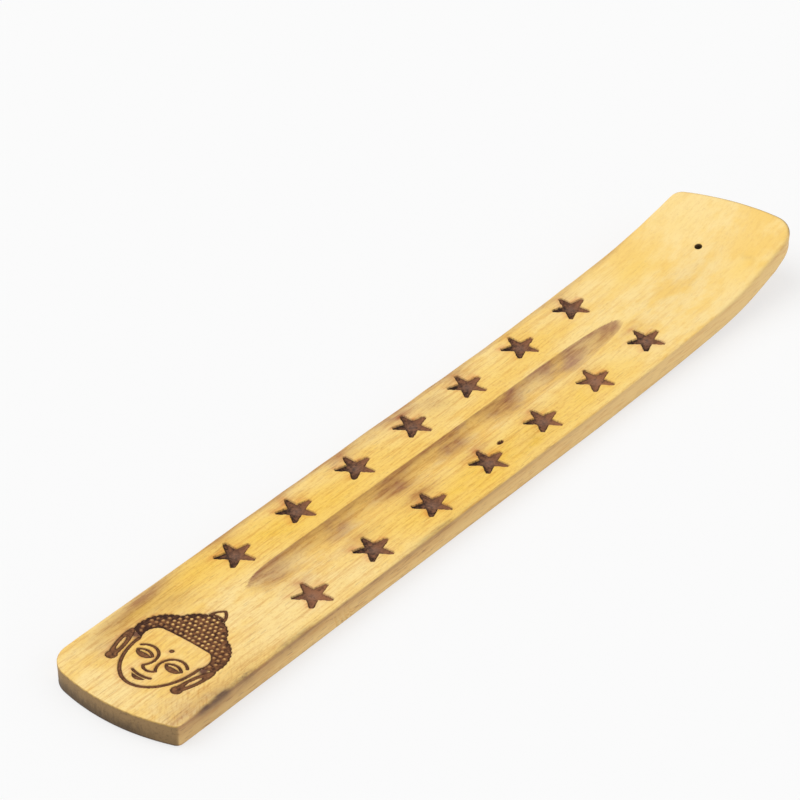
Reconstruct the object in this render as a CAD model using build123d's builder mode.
from build123d import *

import os
from math import acos, asin, atan2, cos, degrees, hypot, pi, radians, sin, sqrt, tan

# Incense stick holder: one thin hardwood board that turns up at the end that holds the stick.
# It lies along X, low end first, with its underside on Z = 0 and its middle over the origin.
# The stick stands in a drilled hole in the raised end, and its ash falls into a long groove.
# Hot irons have pressed two rows of stars and a head into the top. The skin of charred wood on
# each floor of those recesses is a solid of its own, because it is another material than the board.

# Board blank
board_length = 254.0
near_width = 39.4                # over the corners of the low end
near_shift = 0.35                # how far left of the middle that width lies
far_width = 40.5                 # over the corners of the raised end, before its left side runs in
board_thickness = 6.0
near_end_radius = 54.0           # plan curve of the low end
near_end_crown = 2.95            # how far left of the middle the low end reaches furthest
far_end_radius = 86.0            # plan curve of the raised end
far_end_crown = 8.55             # how far right of the middle the raised end reaches furthest
near_left_corner = 9.0           # plan radii of the four corners
near_right_corner = 2.5
far_left_corner = 3.5
far_right_corner = 8.0
lip_taper_length = 30.0          # stretch of the left side that runs in towards the raised end
lip_taper = 1.5                  # how far it runs in
lip_taper_radius = 150.0         # plan curve where that begins
top_edge_radius = 0.6
bottom_edge_cut = 0.3

# Rise of the board, measured on its top, along X, back from the raised end
bow_from_end = 100.3             # where the long, slight bow begins
bow_radius = 1050.0
bend_length = 41.6               # from where the bow turns into the bend
bend_radius = 115.0
lip_angle = radians(14.5)        # slope of the straight lip past the bend
tip_bevel_length = 12.0          # stretch of the lip that is planed thinner from below
tip_thickness = 3.0              # of the lip at its end

pattern_from_middle = 0.45       # how far left of the middle the hole and the rows of stars are set out

# Stick hole, drilled square to the top
hole_diameter = 2.0
hole_from_end = 19.9

# Ash groove, cut by a round-nosed cutter that is lowered and raised on a curve
groove_from_near_end = 50.4      # its tips
groove_from_far_end = 56.7
groove_from_middle = 0.3         # how far right of the board's middle it passes
groove_skew = radians(0.57)      # turned towards the right at its far end
groove_width = 8.2
groove_depth = 1.8
groove_run_in_radius = 44.0      # curves on which the cutter is lowered and raised, over a flat top
groove_run_out_radius = 300.0

# Stars
star_columns = 7
star_points = 5
star_from_near_end = 58.6
star_pitch = 22.5
star_rows_apart = 24.2
star_skew = radians(0.28)        # the rows run a little off the board's own line
star_radius = 6.5                # to the sharp tips, before they are blunted
star_tip_length = 1.3            # cut off along both flanks of a tip
star_waist_share = 0.375         # inner corners, of the tips' radius
star_depth = 0.9
star_draft = 0.25                # how far the walls lean in from rim to floor

# Head
head_from_near_end = 8.4         # its chin
head_from_middle = 0.25          # how far right of the board's middle it stands
head_width = 25.4                # across the hair and the ears
head_height = 33.2               # chin to the finial's tip
head_depth = 0.5
outline_width = 1.0              # burnt line round the face
feature_width = 0.8              # burnt lines within it
lens_swell = 0.15                # how far the filled eyes and lip spread past their arcs
temple_gap = 1.0                 # from the top of the jaw line to the temple
cheek_gap = 0.5                  # from the middle of the jaw line to the ear
ear_gap = 0.6                    # from the ear up to the hair
ear_width = 3.0
ear_lobe_radius = 1.5
ear_slot_width = 1.0             # pale slot left standing in the ear
ear_slot_height = 5.0
ear_tilt = 14.0                  # degrees that each lobe swings in
finial_gap = 0.35                # from the finial down to the topknot
finial_width = 5.1
finial_line_width = 0.85
brow_dot_radius = 0.65
curl_sides = 6
curl_pitch = 1.4
curl_radius = 0.55
curl_crown_radius = 0.3
curl_height = 0.26
row_start_share = 0.65           # of the curls' pitch, from the hairline to the first row

# Char
char_thickness = 0.22
char_clearance = 0.05            # gap between a skin and the walls of its recess

# Every cut runs this far past what it cuts
overrun = 2.0

# Places on the head, as shares of its half width across and of its height upwards
temple_shares = (0.69, 0.41)
hair_corner_shares = (0.668, 0.545)
hairline_end_shares = (0.57, 0.573)
hairline_shares = (0.0, 0.58)
nape_shares = (0.985, 0.445)
skull_shares = (0.93, 0.63)
topknot_foot_shares = (0.535, 0.757)
topknot_top_shares = (0.0, 0.895)
ear_shares = (0.875, 0.272)
brow_dot_shares = (0.0, 0.43)
finial_foot_share = -0.15        # ends of its foot, of the height over the middle of its foot
finial_flank_shares = (0.8, 0.44)   # of its half width, and of its height over those ends
brow_shares = ((0.115, 0.345), (0.33, 0.391), (0.555, 0.354))
lid_shares = ((0.17, 0.305), (0.346, 0.334), (0.523, 0.305))
eye_shares = ((0.17, 0.29), (0.346, 0.302), (0.523, 0.29), (0.346, 0.258))
nose_side_shares = ((0.115, 0.345), (0.07, 0.261), (0.146, 0.2))
nose_base_shares = ((-0.146, 0.2), (0.0, 0.171), (0.146, 0.2))
mouth_shares = ((-0.215, 0.123), (0.0, 0.109), (0.215, 0.123))
lower_lip_shares = ((-0.14, 0.09), (0.0, 0.087), (0.14, 0.09), (0.0, 0.06))

near_end = -board_length / 2
far_end = board_length / 2

# Side profile: the bow and the bend are arcs about centres above the board, so that the top and the
# underside keep the same distance up to the tip, where the lip is planed thinner.
bow_start = far_end - bow_from_end
bend_start = far_end - bend_length
bow_angle = asin((bend_start - bow_start) / bow_radius)
bow_centre = Vector(bow_start, board_thickness + bow_radius)
bend_centre = bow_centre + Vector(sin(bow_angle), -cos(bow_angle)) * (bow_radius - bend_radius)


def arc_point(centre, radius, angle):
    """Point of the side profile, an angle up from straight under an arc's centre."""
    return centre + Vector(sin(angle), -cos(angle)) * radius


def profile_points(depth):
    """Points of the side profile a depth under the top, from the bow's start to the lip's."""
    bow = bow_radius + depth
    bend = bend_radius + depth
    return (
        arc_point(bow_centre, bow, 0),
        arc_point(bow_centre, bow, bow_angle / 2),
        arc_point(bow_centre, bow, bow_angle),
        arc_point(bend_centre, bend, (bow_angle + lip_angle) / 2),
        arc_point(bend_centre, bend, lip_angle),
    )


def lip_point(x, depth):
    """Point of the side profile on the straight lip, a depth under the top."""
    start = arc_point(bend_centre, bend_radius + depth, lip_angle)
    return Vector(x, start.Y + (x - start.X) * tan(lip_angle))


def top_slope(x):
    """Height of the top at a place along the board, and its slope there in radians."""
    if x <= bow_start:
        return board_thickness, 0
    if x <= bend_start:
        slope = asin((x - bow_centre.X) / bow_radius)
        return arc_point(bow_centre, bow_radius, slope).Y, slope
    if x <= arc_point(bend_centre, bend_radius, lip_angle).X:
        slope = asin((x - bend_centre.X) / bend_radius)
        return arc_point(bend_centre, bend_radius, slope).Y, slope
    return lip_point(x, 0).Y, lip_angle


def top_plane(x, y):
    """Plane that lies on the top at a place, with its own X up the slope."""
    height, slope = top_slope(x)
    return Plane(
        origin=(x, y, height),
        x_dir=(cos(slope), 0, sin(slope)),
        z_dir=(-sin(slope), 0, cos(slope)),
    )


def end_setback(radius, offset):
    """How far a round end has fallen back, at a distance from its crown."""
    return radius - sqrt(radius**2 - offset**2)


def in_upper_half(edge):
    """Whether an edge lies in the upper half of the board's thickness."""
    middle = edge @ 0.5
    return middle.Z > top_slope(middle.X)[0] - board_thickness / 2


def rim_edges(part):
    """Edges round the top and the underside, without the seams across the board and down its walls."""
    return part.edges().filter_by(Axis.Y, reverse=True).filter_by(Axis.Z, reverse=True)


# Stars
star_flank = pi / star_points    # turn from a tip to the next inner corner
star_wall = (
    star_waist_share * star_radius * sin(star_flank)
    / hypot(1 - star_waist_share * cos(star_flank), star_waist_share * sin(star_flank))
)                                # distance from a star's middle to its walls, at the rim
star_centre = near_end + star_from_near_end + (star_columns - 1) / 2 * star_pitch
star_places = {}
for side, from_middle in (("left", star_rows_apart / 2), ("right", -star_rows_apart / 2)):
    row = pattern_from_middle + from_middle
    for column in range(star_columns):
        along = (column - (star_columns - 1) / 2) * star_pitch
        star_places[f"{side}_{column + 1}"] = (star_centre + along, row + along * tan(star_skew))


def star_face(inset):
    """Star in the current sketch, one tip up the board, with its walls moved in by an inset."""
    size = star_radius * (1 - inset / star_wall)
    corners = []
    for turn in range(2 * star_points):
        reach = size * star_waist_share if turn % 2 else size
        corners.append((reach * cos(turn * star_flank), reach * sin(turn * star_flank)))
    star = Polygon(*corners)
    tips = star.vertices().sort_by_distance((0, 0))[-star_points:]
    chamfer(tips, star_tip_length * size / star_radius)


# Head
head_plane = Plane(
    origin=(near_end + head_from_near_end, -head_from_middle, board_thickness),
    x_dir=(0, -1, 0),
    z_dir=(0, 0, 1),
)
head_floor = head_plane.offset(-head_depth)


def head_point(shares, side=1):
    """Point in the head's plane, from shares of its half width and height."""
    across_share, up_share = shares
    return side * across_share * head_width / 2, up_share * head_height


ear_across, ear_up = head_point(ear_shares)
ear_height = 2 * (head_point(nape_shares)[1] - ear_gap - ear_up)
face_width = 2 * (ear_across - ear_width / 2 - cheek_gap)
jaw_height = head_point(temple_shares)[1] - temple_gap
finial_foot = head_point(topknot_top_shares)[1] + finial_gap
finial_height = head_height - finial_foot
curl_taper = degrees(atan2(curl_radius - curl_crown_radius, curl_height))


def stroke(shares, width, side=1):
    """Burnt line in the current sketch: an arc through three places of the head."""
    with BuildLine() as line:
        ThreePointArc(*(head_point(place, side) for place in shares))
    trace(line.edges(), line_width=width)


def lens(shares, inset, side=1):
    """Filled shape between two arcs with common ends, in the current sketch, moved in by an inset."""
    start, upper, end, lower = (head_point(place, side) for place in shares)
    with BuildLine() as outline:
        ThreePointArc(start, upper, end)
        ThreePointArc(start, lower, end)
    face = make_face(outline.edges(), mode=Mode.PRIVATE)
    offset(face, amount=lens_swell - inset, mode=Mode.ADD)


def hair_face(inset):
    """Cap of hair with its topknot, in the current sketch, moved in by an inset."""
    knot_foot, knot_foot_left = (head_point(topknot_foot_shares, side) for side in (1, -1))
    hairline_end, hairline_end_left = (head_point(hairline_end_shares, side) for side in (1, -1))
    with BuildLine() as outline:
        ThreePointArc(hairline_end_left, head_point(hairline_shares), hairline_end)
        ThreePointArc(knot_foot, head_point(topknot_top_shares), knot_foot_left)
        for side in (1, -1):
            temple = head_point(temple_shares, side)
            nape = head_point(nape_shares, side)
            ThreePointArc(
                head_point(hairline_end_shares, side), head_point(hair_corner_shares, side), temple
            )
            Line(temple, nape)
            ThreePointArc(nape, head_point(skull_shares, side), head_point(topknot_foot_shares, side))
    make_face(outline.edges())
    if inset:
        offset(amount=-inset)


def face_strokes(inset):
    """Outline of the face and the marks within it, in the current sketch, thinned by an inset."""
    reach = outline_width / 2 - inset
    with Locations((0, jaw_height)):
        Ellipse(face_width / 2 + reach, jaw_height + reach)
        Ellipse(face_width / 2 - reach, jaw_height - reach, mode=Mode.SUBTRACT)
        Rectangle(
            face_width + overrun, jaw_height + overrun, align=(Align.CENTER, Align.MIN), mode=Mode.SUBTRACT
        )
    thin = feature_width - 2 * inset
    for side in (1, -1):
        for shares in (brow_shares, lid_shares, nose_side_shares):
            stroke(shares, thin, side)
        lens(eye_shares, inset, side)
    for shares in (nose_base_shares, mouth_shares):
        stroke(shares, thin)
    lens(lower_lip_shares, inset)
    with Locations(head_point(brow_dot_shares)):
        Circle(brow_dot_radius - inset)


def ear_face(side, inset):
    """Long-lobed ear with a pale slot left standing in it, in the current sketch."""
    with Locations(Location((side * ear_across, ear_up, 0), (0, 0, -side * ear_tilt))):
        Ellipse(ear_width / 2 - inset, ear_height / 2 - inset)
        with Locations((0, ear_lobe_radius - ear_height / 2)):
            Circle(ear_lobe_radius - inset)
        Ellipse(ear_slot_width / 2 + inset, ear_slot_height / 2 + inset, mode=Mode.SUBTRACT)


def finial_face(inset):
    """Flame-shaped ring on the topknot, in the current sketch, thinned by an inset."""
    foot_end = finial_foot + finial_foot_share * finial_height
    tip = (0, head_height)
    with BuildLine() as outline:
        ThreePointArc((-finial_width / 2, foot_end), (0, finial_foot), (finial_width / 2, foot_end))
        for side in (1, -1):
            flank = (
                side * finial_flank_shares[0] * finial_width / 2,
                foot_end + finial_flank_shares[1] * (head_height - foot_end),
            )
            ThreePointArc((side * finial_width / 2, foot_end), flank, tip)
    flame = make_face(outline.edges(), mode=Mode.PRIVATE)
    if inset:
        offset(flame, amount=-inset, mode=Mode.ADD)
    else:
        add(flame)
    offset(flame, amount=inset - finial_line_width, mode=Mode.SUBTRACT)


def curl_places():
    """Places of the curls: rows that run over the head as the hairline does, clear of the hair's edge."""
    with BuildSketch() as field:
        hair_face(char_clearance + curl_radius)
    end_across, end_up = head_point(hairline_end_shares)
    hairline_up = head_point(hairline_shares)[1]
    rise = hairline_up - end_up
    hairline_radius = (end_across**2 + rise**2) / (2 * rise)
    centre = hairline_up - hairline_radius
    rows_up = int((head_height - hairline_up) / curl_pitch)
    rows_down = int((hairline_up - head_point(temple_shares)[1]) / curl_pitch)
    half_row = int(head_width / 2 / curl_pitch) + 1
    places = []
    for row in range(-rows_down, rows_up):
        reach = hairline_radius + (row + row_start_share) * curl_pitch
        for count in range(-half_row, half_row + 1):
            turn = (count + row % 2 / 2) * curl_pitch / reach
            place = Vector(reach * sin(turn), centre + reach * cos(turn))
            if field.face().is_inside(place):
                places.append(place)
    return places


# Groove: the cutter's middle runs on an arc, along the top at one height, and out on an arc again.
# The run-out lies over the bow, so its own curve is tighter by the bow's.
groove_radius = ((groove_width / 2) ** 2 + groove_depth**2) / (2 * groove_depth)
groove_lift = groove_radius - groove_depth
run_out_curve = 1 / (1 / groove_run_out_radius + 1 / bow_radius)


def runout_length(radius):
    """Length of the groove's end that a run-in or run-out on a radius makes in a flat top."""
    return sqrt(radius**2 - (radius - groove_depth) ** 2)


def runout_angle(radius):
    """Turn of the cutter's path on a radius that lifts it clear of the top."""
    return acos(1 - (groove_depth + overrun) / radius)


groove_start = near_end + groove_from_near_end + runout_length(groove_run_in_radius)
groove_stop = far_end - groove_from_far_end - runout_length(groove_run_out_radius)
groove_bow_angle = asin((groove_stop - bow_start) / bow_radius)
groove_plane = Plane(
    origin=(0, -groove_from_middle, 0),
    x_dir=(cos(groove_skew), -sin(groove_skew), 0),
    z_dir=(-sin(groove_skew), -cos(groove_skew), 0),
)
run_in_centre = Vector(groove_start, board_thickness - groove_depth + groove_run_in_radius)
run_out_centre = arc_point(bow_centre, bow_radius + groove_depth - run_out_curve, groove_bow_angle)


def cutter_points(centre, radius, start, stop):
    """Start, middle and end of one arc of the cutter's path, in the plane of the side profile."""
    points = [arc_point(centre, radius, angle) for angle in (start, (start + stop) / 2, stop)]
    return [(point.X, point.Y) for point in points]


os.makedirs("parts", exist_ok=True)

# Board
with BuildPart() as board:
    with BuildSketch(Plane.XZ):
        top = profile_points(0)
        underside = profile_points(board_thickness)
        low_end = near_end - overrun
        with BuildLine():
            Polyline(underside[0], (low_end, 0), (low_end, board_thickness), top[0])
            for run in (top, underside):
                ThreePointArc(run[0], run[1], run[2])
                ThreePointArc(run[2], run[3], run[4])
            bevel_start = lip_point(far_end - tip_bevel_length, board_thickness)
            tip_foot = lip_point(far_end, tip_thickness)
            Polyline(
                top[4],
                lip_point(far_end + overrun, 0),
                tip_foot + (tip_foot - bevel_start) * (overrun / tip_bevel_length),
                bevel_start,
                underside[4],
            )
        make_face()
    extrude(amount=far_width, both=True)

    # Plan outline, with each corner rounded by its own radius
    with BuildSketch() as plan:
        near_left_y, near_right_y = (side * near_width / 2 + near_shift for side in (1, -1))
        far_left_y, far_right_y = (side * far_width / 2 for side in (1, -1))
        lip_y = far_left_y - lip_taper
        near_left = (near_end + end_setback(near_end_radius, near_left_y - near_end_crown), near_left_y)
        near_right = (near_end + end_setback(near_end_radius, near_right_y - near_end_crown), near_right_y)
        far_left = (far_end - end_setback(far_end_radius, lip_y + far_end_crown), lip_y)
        far_right = (far_end - end_setback(far_end_radius, far_right_y + far_end_crown), far_right_y)
        taper_start = (far_end - lip_taper_length, far_left_y)
        with BuildLine():
            Polyline(far_left, taper_start, near_left)
            ThreePointArc(near_left, (near_end, near_end_crown), near_right)
            Line(near_right, far_right)
            ThreePointArc(far_right, (far_end, -far_end_crown), far_left)
        make_face()
        for corner, radius in (
            (near_left, near_left_corner),
            (near_right, near_right_corner),
            (far_left, far_left_corner),
            (far_right, far_right_corner),
            (taper_start, lip_taper_radius),
        ):
            fillet(plan.vertices().sort_by_distance(corner)[0], radius)
    extrude(amount=board.part.bounding_box().max.Z + overrun, mode=Mode.INTERSECT)

    # Worn edges, softer round the top
    fillet(rim_edges(board).filter_by(in_upper_half), top_edge_radius)
    chamfer(rim_edges(board).filter_by(in_upper_half, reverse=True), bottom_edge_cut)

    # Ash groove
    with BuildLine(groove_plane) as groove_path:
        lowered, raised = runout_angle(groove_run_in_radius), runout_angle(run_out_curve)
        ThreePointArc(*cutter_points(run_in_centre, groove_run_in_radius - groove_radius, -lowered, 0))
        cutter_bow = cutter_points(bow_centre, bow_radius - groove_lift, 0, groove_bow_angle)
        Line((groove_start, board_thickness + groove_lift), cutter_bow[0])
        ThreePointArc(*cutter_bow)
        ThreePointArc(
            *cutter_points(
                run_out_centre, run_out_curve - groove_radius, groove_bow_angle, groove_bow_angle + raised
            )
        )
    cutter_wire = groove_path.wire()
    with BuildSketch(Plane(origin=cutter_wire @ 0, z_dir=cutter_wire % 0)):
        Circle(groove_radius)
    sweep(path=cutter_wire, mode=Mode.SUBTRACT)

    # Stick hole
    with Locations(top_plane(far_end - hole_from_end, pattern_from_middle)):
        Hole(hole_diameter / 2)

    # Star recesses, with walls that lean in to the floor
    for place in star_places.values():
        with BuildSketch(top_plane(*place).offset(overrun)):
            star_face(-star_draft * overrun / star_depth)
        with BuildSketch(top_plane(*place).offset(-star_depth)):
            star_face(star_draft)
        loft(ruled=True, mode=Mode.SUBTRACT)

    # Head recesses
    with BuildSketch(head_floor):
        face_strokes(0)
        hair_face(0)
        ear_face(1, 0)
        ear_face(-1, 0)
        finial_face(0)
    extrude(amount=head_depth + overrun, mode=Mode.SUBTRACT)
board.part.label = "board"
export_step(board.part, "parts/board.step")

# Charred floors of the stars
for name, place in star_places.items():
    with BuildPart() as burnt_star:
        with BuildSketch(top_plane(*place).offset(-star_depth)):
            star_face(star_draft + char_clearance)
        extrude(amount=char_thickness)
    burnt_star.part.label = f"burnt_star_{name}"
    export_step(burnt_star.part, f"parts/burnt_star_{name}.step")

# Charred hair, with its curls standing on it
with BuildPart() as burnt_hair:
    with BuildSketch(head_floor):
        hair_face(char_clearance)
    extrude(amount=char_thickness)
    with BuildSketch(head_floor.offset(char_thickness)):
        with Locations(*curl_places()):
            RegularPolygon(curl_radius, curl_sides)
    extrude(amount=curl_height, taper=curl_taper)
burnt_hair.part.label = "burnt_hair"
export_step(burnt_hair.part, "parts/burnt_hair.step")

# Charred lines of the face
with BuildPart() as burnt_face_lines:
    with BuildSketch(head_floor):
        face_strokes(char_clearance)
    extrude(amount=char_thickness)
burnt_face_lines.part.label = "burnt_face_lines"
export_step(burnt_face_lines.part, "parts/burnt_face_lines.step")

# Charred ears
for name, side in (("left", -1), ("right", 1)):
    with BuildPart() as burnt_ear:
        with BuildSketch(head_floor):
            ear_face(side, char_clearance)
        extrude(amount=char_thickness)
    burnt_ear.part.label = f"burnt_{name}_ear"
    export_step(burnt_ear.part, f"parts/burnt_{name}_ear.step")

# Charred finial
with BuildPart() as burnt_finial:
    with BuildSketch(head_floor):
        finial_face(char_clearance)
    extrude(amount=char_thickness)
burnt_finial.part.label = "burnt_finial"
export_step(burnt_finial.part, "parts/burnt_finial.step")
